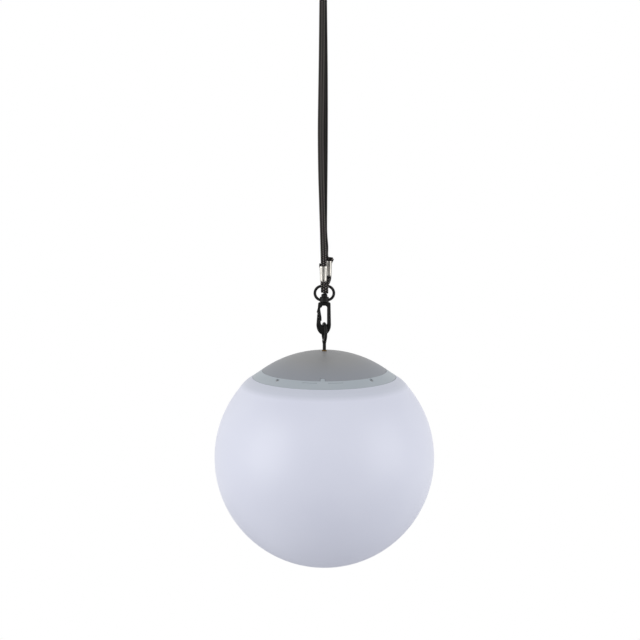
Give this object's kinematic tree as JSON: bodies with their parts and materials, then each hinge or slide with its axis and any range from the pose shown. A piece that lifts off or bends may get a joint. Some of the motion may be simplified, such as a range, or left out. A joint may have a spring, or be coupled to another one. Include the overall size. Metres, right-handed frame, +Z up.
{
  "type": "garden globe light",
  "caption": "White hanging globe light with a solar lid, hung by an eye bolt and a swivel snap hook from a doubled flat strap",
  "frame": {"origin": "the hang point: the inside top of the strap's fold, where it goes over a rod or hook", "axes": "+Z up along the hanging line, -Y to the front, where the lid's key is, +X to the right"},
  "size_m": [0.2, 0.2, 0.5338],
  "materials": {
    "strap_braid": "dark warm grey flat polyester braid",
    "crimp_steel": "zinc plated folded sheet steel",
    "black_casting": "black coated zinc casting, satin",
    "black_steel": "black coated steel wire, satin",
    "fastener_steel": "zinc plated steel",
    "ferrule_brass": "dulled brass",
    "frosted_dome": "frosted smoke-grey acrylic cap",
    "lid_plastic": "translucent grey-white moulded plastic",
    "globe_white": "translucent white polyethylene, satin",
    "seal_rubber": "soft black seal",
    "housing_plastic": "white moulded plastic",
    "black_plastic": "black moulded plastic",
    "button_rubber": "dark grey soft button",
    "panel_backing": "laminated black backing",
    "solar_cell": "dark blue silicon cell",
    "circuit_board": "green circuit board",
    "light_board": "white circuit board",
    "led_resin": "yellow light-emitting resin",
    "clear_cover": "frosted clear plastic",
    "battery_sleeve": "plain shrink sleeve"
  },
  "bodies": {
    "strap": {"strap": "strap_braid", "strap_eye_front": "strap_braid", "strap_eye_rear": "strap_braid", "crimp_front": "crimp_steel", "crimp_rear": "crimp_steel"},
    "ring": {"swivel_ring": "black_casting"},
    "hook": {"hook_body": "black_casting", "gate_pin": "fastener_steel", "gate_spring": "fastener_steel"},
    "gate": {"hook_gate": "black_casting"},
    "head": {"eye_bolt": "black_steel", "eye_ferrule": "ferrule_brass", "eye_washer": "fastener_steel", "eye_nut": "fastener_steel", "solar_dome": "frosted_dome", "dome_gasket": "seal_rubber", "lid_ring": "lid_plastic", "lid_screws": "fastener_steel", "panel_tray": "housing_plastic", "solar_panel": "panel_backing", "solar_cells": "solar_cell", "light_housing": "housing_plastic", "housing_screws": "fastener_steel", "control_board": "circuit_board", "switch_body": "black_plastic", "led_board": "light_board", "leds": "led_resin", "led_cover": "clear_cover", "battery_cell": "battery_sleeve", "contact_plate": "fastener_steel", "contact_spring": "fastener_steel", "neck_gasket": "seal_rubber"},
    "button": {"power_button": "button_rubber"},
    "door": {"battery_door": "housing_plastic"},
    "globe": {"globe_diffuser": "globe_white"}
  },
  "joints": [
    {"name": "ring_swing", "type": "hinge", "parent": "strap", "child": "ring", "pos_m": [0, 0, -0.27455], "axis": [1, 0, 0], "range_deg": [-45, 45]},
    {"name": "hook_turn", "type": "hinge", "parent": "ring", "child": "hook", "pos_m": [0, 0, -0.289], "axis": [0, 0, 1], "continuous": true},
    {"name": "gate_open", "type": "hinge", "parent": "hook", "child": "gate", "pos_m": [-0.0037, 0, -0.2922], "axis": [0, -1, 0], "range_deg": [0, 17], "stiffness_Nm_per_rad": 0.02, "springref_deg": -20.05},
    {"name": "eye_swing", "type": "hinge", "parent": "hook", "child": "head", "pos_m": [0, 0, -0.3129], "axis": [1, 0, 0], "range_deg": [-35, 35]},
    {"name": "power_press", "type": "slide", "parent": "head", "child": "button", "axis": [0, 0, 1], "range_m": [0, 0.0012], "stiffness_N_per_m": 150, "springref_m": -0.002},
    {"name": "door_open", "type": "hinge", "parent": "head", "child": "door", "pos_m": [0, 0.01, -0.38705], "axis": [1, 0, 0], "range_deg": [0, 100]},
    {"name": "globe_drop", "type": "slide", "parent": "head", "child": "globe", "axis": [0, 0, -1], "range_m": [0, 0.06]}
  ]
}
